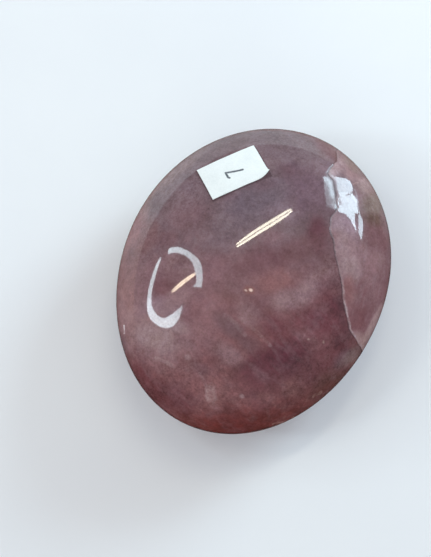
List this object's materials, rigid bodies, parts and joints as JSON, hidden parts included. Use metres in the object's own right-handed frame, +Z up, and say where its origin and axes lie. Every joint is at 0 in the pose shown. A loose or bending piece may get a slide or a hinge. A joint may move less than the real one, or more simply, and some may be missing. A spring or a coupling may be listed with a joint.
{
  "type": "palm stone",
  "caption": "Smooth oval palm stone of polished mauve quartz with a small flat spot to rest on and a small paper label on its upper side.",
  "frame": {"origin": "middle of the small flat spot that the stone rests on", "axes": "+Y along the stone's length, +X across it, +Z up through the side that carries the label"},
  "size_m": [0.0555, 0.067, 0.0282],
  "materials": {
    "quartz": "polished to a high gloss, cloudy and slightly see-through mauve and wine colour",
    "paper": "matt white paper with a thin grey pen line"
  },
  "bodies": {
    "root": {"stone": "quartz", "label": "paper"}
  },
  "joints": []
}
